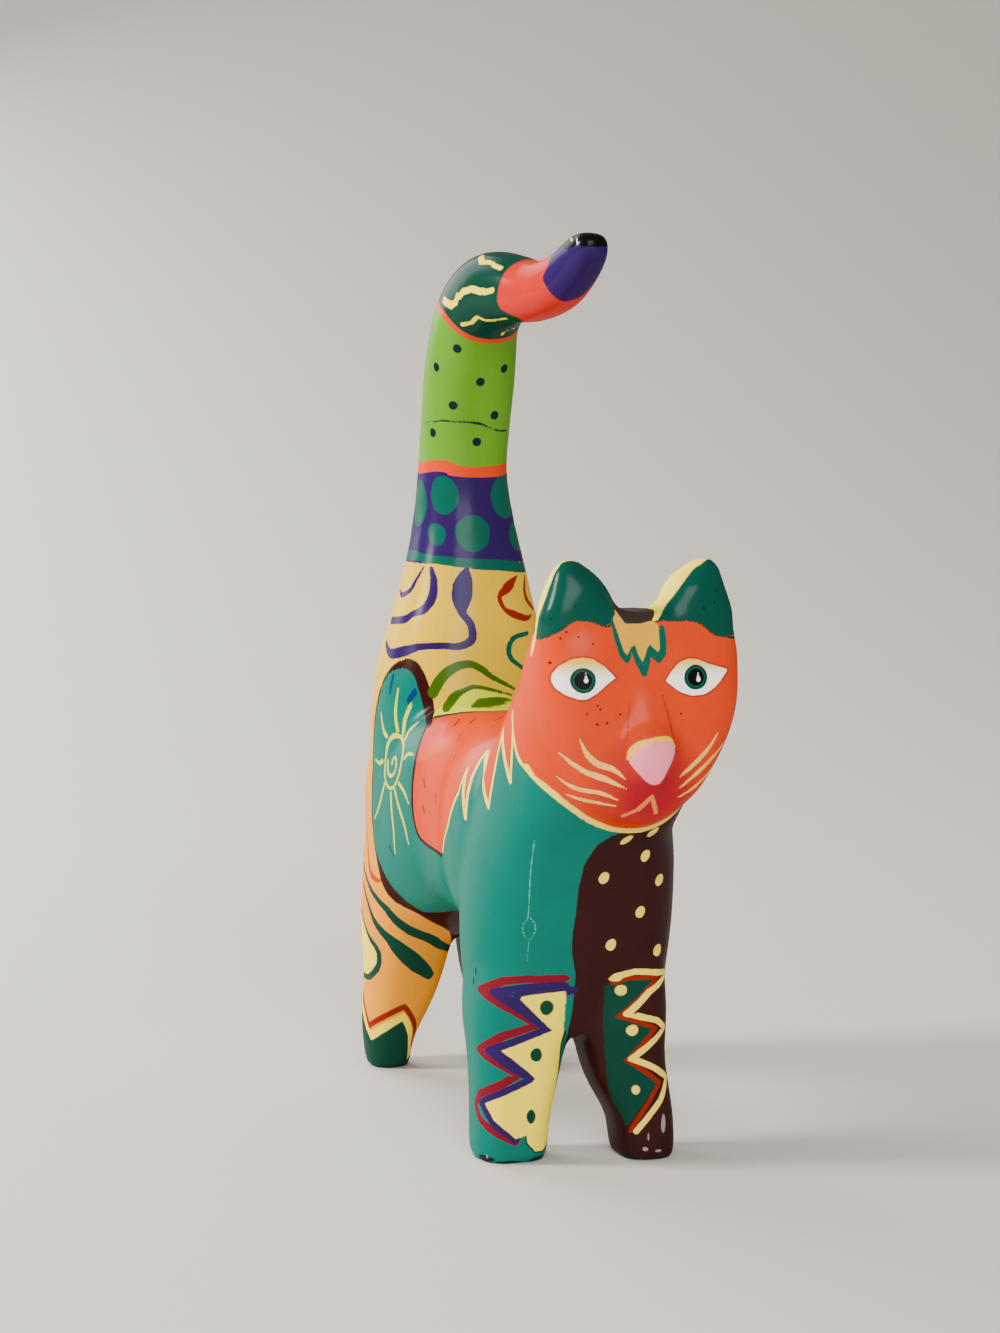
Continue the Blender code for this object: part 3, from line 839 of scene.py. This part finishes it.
# Each row: layer, leg, colour, knots and width
ZIGZAGS = (
    (fills, right, CRIMSON, CRIMSON_ZIGZAG, 1.6),
    (lines, right, PURPLE, PURPLE_ZIGZAG, 1.8),
    (lines, right, PURPLE, YELLOW_PANEL[:ZIGZAG_POINTS], 1.9),
    (fills, right, INK, YELLOW_PANEL[ZIGZAG_POINTS:], 0.6),
    (lines, left, RED, RED_ZIGZAG, 0.9),
    (motifs, left, CREAM, CREAM_ZIGZAG, 1.15),
)
for layer, leg, colour, knots, width in ZIGZAGS:
    line(layer, leg, colour, wide(knots, width), straight=True)
patch(motifs, right, PALE_YELLOW, YELLOW_PANEL)
ovals(touches, right, DARK_GREEN, PANEL_DOTS, PANEL_LEAN)
patch(fills, left, DARK_GREEN, GREEN_PANEL)
ovals(touches, left, CREAM, LEFT_DOTS)
tell("the front legs")

# %% Hind legs
UPPER_LEAF = (
    (21.8, 44.8, 1.2), (15.2, 42.2, 1.2), (9.1, 39.8, 1.3), (4.9, 37.3, 1.4), (2.7, 34.7, 1.6),
    (0.2, 32.4, 1.8), (-3, 30.6, 1.8), (-6.2, 28.4, 1.6), (-10, 27, 1.3),
)
LOWER_LEAF = (
    (19.8, 40.8, 1.1), (12.2, 36.8, 1.3), (7.8, 33.3, 1.6), (4.2, 30.5, 2.0), (1.5, 27.7, 3.2),
    (-1.9, 24.6, 3.4), (-6, 21.6, 1.8),
)
LEG_LOOP = (
    (22.4, 34.5, 0.8), (14.6, 30.8, 0.9), (8.5, 28, 1.2), (7.3, 25.9, 1.4), (8.9, 23, 1.3),
    (15.9, 20.5, 1.1), (24.4, 20, 1.0),
)
LEG_ZIGZAG = ((34, 12), (26.2, 15.8), (18.2, 9.6), (-1.1, 14.5), (-16.7, 4.8), (-26, 12), (-34, 6))
LEG_ZIGZAG_WIDTH = 1.4
LOOP_EDGE = 1.4
# The maroon inside of the leg
LEG_INSIDE = (
    (6, 46), (3.7, 41.4), (1.8, 38.8), (-2, 34.8), (-7.7, 29.9), (-15, 22), (-16, 8), (-24, 8), (-24, 50),
    (2, 50),
)
# The green foot lies this far below the red zigzag, with a pale band along its edge
FOOT_DROP, FOOT_CORNERS = (0, -3.4), ((-34, -5), (34, -5))
BAND_RISE, BAND_WIDTH = (0, 0.9), 2.2

for leg in hind_legs.values():
    patch(patches, leg, MAROON, LEG_INSIDE)
    for leaf in (UPPER_LEAF, LOWER_LEAF):
        line(lines, leg, DARK_GREEN, leaf)
    patch(fills, leg, PALE_YELLOW, places(LEG_LOOP), straight=False)
    line(lines, leg, DARK_GREEN, [(u, v, width * LOOP_EDGE) for u, v, width in LEG_LOOP])
    line(motifs, leg, RED, wide(LEG_ZIGZAG, LEG_ZIGZAG_WIDTH), straight=True)
    foot = moved(LEG_ZIGZAG, FOOT_DROP)
    patch(lines, leg, DARK_GREEN, [*foot, *FOOT_CORNERS])
    line(fills, leg, PALE_YELLOW, wide(moved(foot, BAND_RISE), BAND_WIDTH), straight=True)
tell("the hind legs")

# %% [markdown]
# ## The face
#
# The face is drawn on its own chart, seen straight from the front: the ears with their cream rims
# and a lock of gold between them, then the eyes, the nose and the whiskers.

# %% Ears and forelock
RIGHT_EAR = (
    (-17.2, 101.9), (-17.4, 104.1), (-17.3, 106.1), (-16.4, 108.9), (-15.2, 112), (-14, 114.7),
    (-12.5, 116.2), (-11.1, 116.5), (-9.1, 116.1), (-7, 114.8), (-5.2, 112.3), (-4, 109.7), (-3.6, 107.6),
    (-4.5, 105), (-6, 104.7), (-8, 105.5), (-10.4, 105.8), (-12, 105.5), (-13.5, 104.3), (-15.3, 103.3),
)
LEFT_EAR = (
    (3.9, 105.6), (5.8, 108.3), (7.4, 110.4), (9.4, 112.6), (12.2, 115.3), (14.2, 116.8), (16.6, 116.8),
    (18.4, 114.5), (19.3, 111), (20, 107.5), (20.8, 102.3), (17.1, 102.3), (14.8, 103), (12.7, 104.6),
    (10.6, 105.4), (7.8, 105.4),
)
# The outer edge of an ear, seen from the side: y, height and width
OUTER_RIM = (
    (-53.4, 99, 0.6), (-54.2, 101, 2.2), (-56.2, 104.8, 3.0), (-57.4, 108, 3.2), (-58, 111.5, 3.0),
    (-58.4, 114.3, 3.0), (-58.4, 117, 3.0),
)
LEFT_RIM = (
    (3.7, 105.4, 0.8), (5.4, 107.5, 1.1), (7.1, 109.8, 1.4), (8.9, 112.3, 1.5), (11, 114.4, 1.4),
    (13, 115.8, 1.2), (15, 116.5, 0.8), (17, 116, 0.5), (18.3, 112.8, 0.35), (19.6, 107.3, 0.35),
    (20.6, 102.3, 0.3),
)
FORELOCK = (
    (-3.5, 107.6), (-2, 105), (0.6, 104.9), (3.2, 105.4), (4.3, 104.8), (4.3, 101.7), (4.4, 99.4),
    (2.3, 101.4), (0.9, 97.6), (-0.6, 101.8), (-2.1, 98.9), (-3.3, 102.6), (-4.2, 105.7),
)
FORELOCK_EDGE = (
    (-4.1, 105.7), (-3.8, 103), (-2.8, 99.6), (-1.9, 98.5), (-0.9, 101), (0.3, 97.9), (1.3, 96),
    (2.4, 99.8), (4.1, 98.4), (5, 99.5), (5.1, 101.7), (4.9, 104),
)
# A dark grey-brown patch over the crown between the ears
CROWN = ((-6, 112), (-5, 105.5), (-2, 104.7), (0.6, 104.7), (3.4, 105), (5.2, 105.3), (6.5, 112))
EAR_EDGE, FORELOCK_LINE = 0.5, 1.2
SPECK_RADII = (0.2, 0.24)
EAR_SPECKS = ((-15.6, 107.4), (-15.4, 106), (-11.4, 108.3), (15.3, 108.5), (13.2, 107.5), (15.8, 110.7))

for ear in (RIGHT_EAR, LEFT_EAR):
    for chart in (face, head_back):
        patch(fills, chart, EAR_TEAL, ear)
    line(patches, face, DARK_GREEN, wide([*ear, ear[0]], EAR_EDGE))
for chart in (face, head_back):
    patch(patches, chart, CROWN_GREY, CROWN)
line(motifs, face, PALE_YELLOW, LEFT_RIM)
for ear_side in ear_sides.values():
    line(motifs, ear_side, PALE_YELLOW, OUTER_RIM)
line(lines, face, SEA_GREEN, wide(FORELOCK_EDGE, FORELOCK_LINE), straight=True)
patch(lines, face, SEA_GREEN, FORELOCK_EDGE)
patch(motifs, face, GOLD, FORELOCK)
for speck in EAR_SPECKS:
    dot(touches, face, INK, speck, SPECK_RADII)
tell("the ears")

# %% Eyes
# Each eye: the iris, the upper lid from its outer corner, the lower lid back, and the glint
EYES = (
    (
        (-10.1, 95),
        (
            (-15.4, 94.9), (-15.1, 96.3), (-14.1, 97.6), (-12.5, 98.7), (-10.2, 99.1), (-8.2, 98.8),
            (-6.3, 97.5), (-4.1, 95.4),
        ),
        ((-5.5, 94.5), (-7.5, 92.8), (-9.5, 91.6), (-11.1, 91.6), (-12.9, 92.3), (-14.6, 93.4)),
        (-9.6, 95.4),
    ),
    (
        (11.2, 95.1),
        (
            (5.4, 94.6), (6.5, 96.2), (7.8, 97.7), (9.5, 98.5), (11.6, 98.4), (13.7, 97.5), (15.5, 96.9),
            (17.8, 96.3),
        ),
        ((16.4, 94.5), (14.8, 93), (12.8, 91.9), (10.6, 91.8), (8.5, 92.4), (6.8, 93.4)),
        (11.7, 95.1),
    ),
)
EYE_RIM = 0.6
LID_FADE = (95.4, 98)
# The rounds of an eye, from the iris in to the pupil: layer, colour and radius
EYE_ROUNDS = ((lines, DARK_GREEN, 2.3), (motifs, SEA_GREEN, 1.8), (touches, BLACK, 1.6))
# A glint is a drop: how far across and up each knot is, and its width
GLINT = ((-0.05, 0.9, 0.15), (0, 0, 0.5), (0, -0.45, 0.8))

for eye, upper, lower, (glint_across, glint_up) in EYES:
    line(patches, face, DEEP_ORANGE, wide([*upper, *lower, upper[0]], EYE_RIM))
    patch(fills, face, fade(WHITE, LID, *LID_FADE), [*upper, *lower])
    for layer, colour, radius in EYE_ROUNDS:
        dot(layer, face, colour, eye, (radius, radius))
    line(glints, face, WHITE, [(glint_across + u, glint_up + v, width) for u, v, width in GLINT])
tell("the eyes")

# %% Nose, mouth, whiskers and the cream edge
NOSE = (
    (-2.2, 80.7), (-2, 81.9), (-0.8, 83.2), (1.5, 84), (4.1, 84.1), (5.6, 83.5), (6.2, 82.3), (5.6, 80.4),
    (4.6, 78.5), (3.6, 76.7), (2.4, 76.1), (0.9, 76.6), (-0.6, 78.2), (-1.9, 79.8),
)
NOSE_RIM = (
    (-2.3, 80.9, 0.5), (-1.8, 82.4, 0.9), (-0.5, 83.6, 1.0), (2.4, 84.4, 0.9), (5, 84.3, 0.9),
    (6.1, 83, 0.4),
)
WHISKERS = (
    ((-10.7, 84.4, 0.2), (-9.4, 81.8, 0.9), (-7.4, 79.9, 1.2), (-4.7, 78.9, 1.0), (-2.7, 77.2, 0.2)),
    ((-13.3, 81.6, 0.2), (-11.2, 79.7, 0.7), (-9.1, 78.3, 1.0), (-6, 77.1, 1.1), (-2.4, 75.4, 0.2)),
    ((-12.6, 76.9, 0.2), (-10.8, 75.5, 0.6), (-9.3, 74.8, 0.8), (-6.4, 74.4, 0.8), (-3.5, 73.2, 0.2)),
    ((-10.9, 73.6, 0.2), (-8.7, 72.8, 0.6), (-6.9, 72.5, 0.7), (-3.6, 72, 0.2)),
    ((15.7, 84.8, 0.2), (14.2, 82.5, 0.7), (12.1, 80.2, 0.9), (9.9, 78.5, 0.8), (7.9, 77.2, 0.2)),
    ((18.3, 83.3, 0.2), (15.5, 80.7, 0.6), (12.8, 78.3, 0.8), (10.6, 76.7, 0.7), (8, 75.1, 0.2)),
    ((17, 79.6, 0.2), (14.3, 76.9, 0.5), (11.5, 74.7, 0.7), (8.1, 73.3, 0.2)),
)
MOUTH = ((-1.8, 70, 0.4), (0.6, 71.4, 0.9), (2.5, 73.7, 1.0), (4.1, 70.6, 0.6))
WHISKER_EDGE = 0.25
CHEEK_LINE = 0.9
JAW_LINE_START, JAW_LINE, JAW_LINE_KNOT = 0.7, 1.0, 3
FRECKLE = (0.2, 0.2)
# Painted shade: thin dark orange lines along the two edges of the nose bridge, where its sides turn away.
# Each knot: x, height and width
BRIDGE_SHADE_LINES = (
    ((-1.5, 91.3, 0.15), (-1.8, 88.6, 0.3), (-2.1, 86.3, 0.35), (-2.4, 84.4, 0.2)),
    ((4.6, 92, 0.2), (5.4, 89.2, 0.45), (5.9, 86.9, 0.5), (6.2, 84.6, 0.4)),
)
FRECKLES = (
    (-12.9, 103.7), (-13.9, 102.5), (-10.8, 102.8), (-8.2, 101.5), (-9.5, 89), (-7.6, 90.4), (-7.1, 89.8),
    (-5.9, 87.3), (-7.7, 87.1), (-3.4, 88.8), (8.2, 88.6), (-15.4, 98.1),
)

patch(motifs, face, PINK, NOSE, straight=False)
line(touches, face, LID, NOSE_RIM)
for whisker in WHISKERS:
    line(lines, face, DEEP_ORANGE, [(x, up, width + WHISKER_EDGE) for x, up, width in whisker])
    line(motifs, face, PEACH, whisker)
line(motifs, face, PEACH_DARK, MOUTH, straight=True)
line(motifs, cheeks, CREAM, wide(FACE_END, CHEEK_LINE))
jaw_start, jaw_rest = JAW[1:JAW_LINE_KNOT], JAW[JAW_LINE_KNOT:-1]
line(motifs, jaw, CREAM, wide(jaw_start, JAW_LINE_START) + wide(jaw_rest, JAW_LINE))
# The painted shade along the two edges of the nose bridge
for bridge_shade in BRIDGE_SHADE_LINES:
    line(lines, face, DEEP_ORANGE, bridge_shade)
for freckle in FRECKLES:
    dot(touches, face, MAROON, freckle, FRECKLE)
tell("the nose and whiskers")

# %% [markdown]
# ## From layers to a material
#
# The layers become attributes of the mesh: one for the shape and one for the colour. The shader lays
# each over the one below where the distance to its shape is under one. A little noise on that
# distance gives the edge of a hand-held brush.

# %% Store the layers on the skin
def store(layer, name, kind, values):
    attribute = mesh.attributes.new(f"{layer.name}_{name}", kind, "CORNER")
    attribute.data.foreach_set("color" if kind == "FLOAT_COLOR" else "vector", values.ravel())


store(ground, "colour", "FLOAT_COLOR", ground.colour)
for layer in painted:
    store(layer, "shape", "FLOAT_VECTOR", layer.shape)
    store(layer, "colour", "FLOAT_COLOR", layer.colour)
print("attributes of the mesh:", len(mesh.attributes))


# %% Shader sums as plain Python
class Value:
    """A shader value. A sum on it adds a Math node to its material."""

    def __init__(self, finish, socket):
        self.finish = finish
        self.socket = socket

    def __add__(self, other):
        return self.finish.math("ADD", self, other)

    def __radd__(self, other):
        return self.finish.math("ADD", other, self)

    def __sub__(self, other):
        return self.finish.math("SUBTRACT", self, other)

    def __rsub__(self, other):
        return self.finish.math("SUBTRACT", other, self)

    def __mul__(self, other):
        return self.finish.math("MULTIPLY", self, other)

    def __rmul__(self, other):
        return self.finish.math("MULTIPLY", other, self)

    def __truediv__(self, other):
        return self.finish.math("DIVIDE", self, other)


class Finish:
    """A new material, and short calls that add nodes to it."""

    def __init__(self, name):
        self.material = bpy.data.materials.new(name)
        self.material.use_nodes = True
        self.tree = self.material.node_tree
        self.shader = self.tree.nodes["Principled BSDF"]

    def set(self, socket, value):
        if isinstance(value, Value):
            self.tree.links.new(value.socket, socket)
        else:
            socket.default_value = value

    def node(self, kind, settings, inputs, output=0):
        node = self.tree.nodes.new(kind)
        for name, value in settings.items():
            setattr(node, name, value)
        for name, value in inputs.items():
            self.set(node.inputs[name], value)
        return Value(self, node.outputs[output])

    def math(self, operation, first, second=0.0):
        return self.node("ShaderNodeMath", {"operation": operation}, {0: first, 1: second})

    def clamp(self, value):
        return self.node("ShaderNodeClamp", {}, {"Value": value})

    def attribute(self, name, output="Vector"):
        return self.node("ShaderNodeAttribute", {"attribute_name": name}, {}, output)

    def parts(self, vector):
        first = self.node("ShaderNodeSeparateXYZ", {}, {0: vector})
        return [Value(self, socket) for socket in first.socket.node.outputs]

    def mix(self, share, below, above):
        return self.node("ShaderNodeMix", {"data_type": "RGBA"}, {0: share, 6: below, 7: above}, 2)

    def shaded(self, colour, tone):
        """The colour made darker or lighter by a tone around one."""
        grey = self.node("ShaderNodeCombineColor", {}, {0: tone, 1: tone, 2: tone})
        settings = {"data_type": "RGBA", "blend_type": "MULTIPLY"}
        return self.node("ShaderNodeMix", settings, {0: 1.0, 6: colour, 7: grey}, 2)

    def noise(self, place, size, detail=2.0, roughness=0.5):
        """Noise around zero, whose lumps are about this many metres wide."""
        inputs = {"Vector": place, "Scale": 1 / size, "Detail": detail, "Roughness": roughness}
        return self.node("ShaderNodeTexNoise", {}, inputs) - 0.5


# %% [markdown]
# ## Paint and varnish
#
# The paint is matt poster colour under a clear varnish, so the base is fairly rough and the coat on
# it is smooth. The colour drifts a little where the brush was reloaded, and the moulded paper below
# is never quite flat, which a low bump gives.

# %% The painted material
EDGE_SHARPNESS = 7.0
BRUSH_GRAIN, BRUSH_WOBBLE = 1.6 * MM, 0.28
BLUSH_PLACE = (0.0025, -0.066, 0.0745)
BLUSH_INNER, BLUSH_OUTER = 0.004, 0.0125
BLUSH_GRAIN, BLUSH_RAGGED, BLUSH_STRENGTH = 4 * MM, 0.3, 0.9
# Tone, roughness and the form of the paper each change over lumps of one size or two
TONE_LUMPS, TONE_DRIFT = 9 * MM, 0.22
TONE_GRAINS, TONE_GRAININESS = 0.9 * MM, 0.10
ROUGHNESS, ROUGH_LUMPS, ROUGH_DRIFT = 0.42, 6 * MM, 0.16
VARNISH, VARNISH_ROUGHNESS = 0.18, 0.22
PAPER_LUMPS, PAPER_DEPTH = 14 * MM, 0.7
PAPER_GRAINS, PAPER_GRAININESS = 2.2 * MM, 0.06
BUMP_STRENGTH, BUMP_DISTANCE = 0.35, 0.6 * MM
COARSE, FINE = 2, 3

paint = Finish("painted_cat")
place = paint.node("ShaderNodeTexCoord", {}, {}, "Object")
wobble = paint.noise(place, BRUSH_GRAIN) * BRUSH_WOBBLE

colour = paint.attribute("ground_colour", "Color")
away = paint.node("ShaderNodeVectorMath", {"operation": "DISTANCE"}, {0: place, 1: BLUSH_PLACE}, "Value")
ragged = paint.noise(place, BLUSH_GRAIN) * BLUSH_RAGGED
blush = paint.clamp((BLUSH_OUTER - away) / (BLUSH_OUTER - BLUSH_INNER) + ragged)
colour = paint.mix(blush * BLUSH_STRENGTH, colour, MAGENTA)
for layer in painted:
    lengthways, crossways, half_length = paint.parts(paint.attribute(f"{layer.name}_shape"))
    beyond = paint.math("MAXIMUM", paint.math("ABSOLUTE", lengthways) - half_length, 0.0)
    distance = paint.math("SQRT", beyond * beyond + crossways * crossways)
    half_width = paint.attribute(f"{layer.name}_colour", "Alpha")
    cover = paint.clamp(((1 - distance) * half_width + wobble) * EDGE_SHARPNESS + 0.5)
    colour = paint.mix(cover, colour, paint.attribute(f"{layer.name}_colour", "Color"))

tone = 1 + paint.noise(place, TONE_LUMPS, FINE) * TONE_DRIFT
tone = tone + paint.noise(place, TONE_GRAINS, COARSE) * TONE_GRAININESS
roughness = ROUGHNESS + paint.noise(place, ROUGH_LUMPS, FINE) * ROUGH_DRIFT
lumps = paint.noise(place, PAPER_LUMPS, COARSE) * PAPER_DEPTH
lumps = lumps + paint.noise(place, PAPER_GRAINS, FINE) * PAPER_GRAININESS
bump_inputs = {"Strength": BUMP_STRENGTH, "Distance": BUMP_DISTANCE, "Height": lumps}
finish = {
    "Base Color": paint.shaded(colour, tone),
    "Roughness": roughness,
    "Specular IOR Level": 0.0,
    "Coat Weight": VARNISH,
    "Coat Roughness": VARNISH_ROUGHNESS,
    "Normal": paint.node("ShaderNodeBump", {}, bump_inputs, "Normal"),
}
for socket, value in finish.items():
    paint.set(paint.shader.inputs[socket], value)

mesh.materials.clear()
mesh.materials.append(paint.material)
print("shader nodes:", len(paint.tree.nodes))

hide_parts("cat")
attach(skin, "root")

# %% [markdown]
# ## Floor, light and camera
#
# The floor is one sheet that bends up behind the cat, so no edge shows. A small strong light stands
# at the left, a large one behind and a soft one in front, as the photo's shadows suggest. The camera
# stands where the photo was taken from.

# %% The floor
FLOOR_SIZE, FLOOR_BACK = 6.0, 1.3
SWEEP_RADIUS, SWEEP_STEPS = 0.9, 24
FLOOR_COLOUR, FLOOR_ROUGHNESS = (0.62, 0.59, 0.54, 1), 0.8
GROUND_LEVEL = 0.001


def select_back_edge(obj):
    """Picks the floor's back edge at ground height, where the sweep bends up."""
    bpy.ops.object.mode_set(mode="EDIT")
    bpy.ops.mesh.select_all(action="DESELECT")
    bpy.ops.object.mode_set(mode="OBJECT")
    points = obj.data.vertices
    for edge in obj.data.edges:
        edge.select = all(points[i].co.y > 0 and points[i].co.z < GROUND_LEVEL for i in edge.vertices)
    bpy.ops.object.mode_set(mode="EDIT")
    bpy.ops.mesh.select_mode(type="EDGE")


bpy.ops.mesh.primitive_plane_add(size=FLOOR_SIZE, location=(0, FLOOR_BACK - FLOOR_SIZE / 2, 0))
floor = bpy.context.object
floor.name = "floor"
select_back_edge(floor)
bpy.ops.mesh.extrude_region_move(TRANSFORM_OT_translate={"value": (0, 0, FLOOR_SIZE / 2)})
select_back_edge(floor)
bpy.ops.mesh.bevel(offset=SWEEP_RADIUS, segments=SWEEP_STEPS, affect="EDGES")
bpy.ops.object.mode_set(mode="OBJECT")
bpy.ops.object.shade_smooth()
pale = bpy.data.materials.new("pale_floor")
pale.use_nodes = True
pale_shader = pale.node_tree.nodes["Principled BSDF"]
pale_shader.inputs["Base Color"].default_value = FLOOR_COLOUR
pale_shader.inputs["Roughness"].default_value = FLOOR_ROUGHNESS
floor.data.materials.append(pale)
print("floor faces:", len(floor.data.polygons))

# %% The lights
AIM = (0, 0, 0.09)
# Each light: name, place, size, power in watts and colour
LIGHTS = (
    ("key_left", (-0.86, 0.16, 0.50), 0.22, 15, (1.0, 0.95, 0.88)),
    ("window_back", (-0.34, 0.85, 0.52), 0.70, 13, (1.0, 0.98, 0.96)),
    ("fill_front", (-0.25, -1.3, 0.60), 0.8, 23, (1.0, 0.99, 0.97)),
)
WORLD_COLOUR, WORLD_STRENGTH = (0.66, 0.63, 0.58, 1), 0.6


def add_softbox(name, place, size, power, colour):
    """A square studio light that faces the middle of the cat."""
    bpy.ops.object.light_add(type="AREA", location=place)
    light = bpy.context.object
    light.name = name
    light.data.size = size
    light.data.energy = power
    light.data.color = colour
    toward = np.subtract(AIM, place)
    pitch = math.atan2(math.hypot(toward[0], toward[1]), -toward[2])
    heading = math.atan2(toward[1], toward[0]) - math.pi / 2
    light.rotation_euler = (pitch, 0, heading)


for row in LIGHTS:
    add_softbox(*row)

world = bpy.data.worlds.new("studio")
world.use_nodes = True
background = world.node_tree.nodes["Background"]
background.inputs["Color"].default_value = WORLD_COLOUR
background.inputs["Strength"].default_value = WORLD_STRENGTH
bpy.context.scene.world = world
print("lights:", [row[0] for row in LIGHTS])

# %% The camera
CAMERA_PLACE = (-0.1894, -0.6032, 0.147)
CAMERA_PITCH, CAMERA_YAW = 85.02, -16.9
LENS, SENSOR_WIDTH = 85.96, 36

bpy.ops.object.camera_add(location=CAMERA_PLACE)
camera = bpy.context.object
camera.rotation_euler = (math.radians(CAMERA_PITCH), 0, math.radians(CAMERA_YAW))
camera.data.lens = LENS
camera.data.sensor_width = SENSOR_WIDTH
camera.data.sensor_fit = "AUTO"
bpy.context.scene.camera = camera
print("camera at:", CAMERA_PLACE)
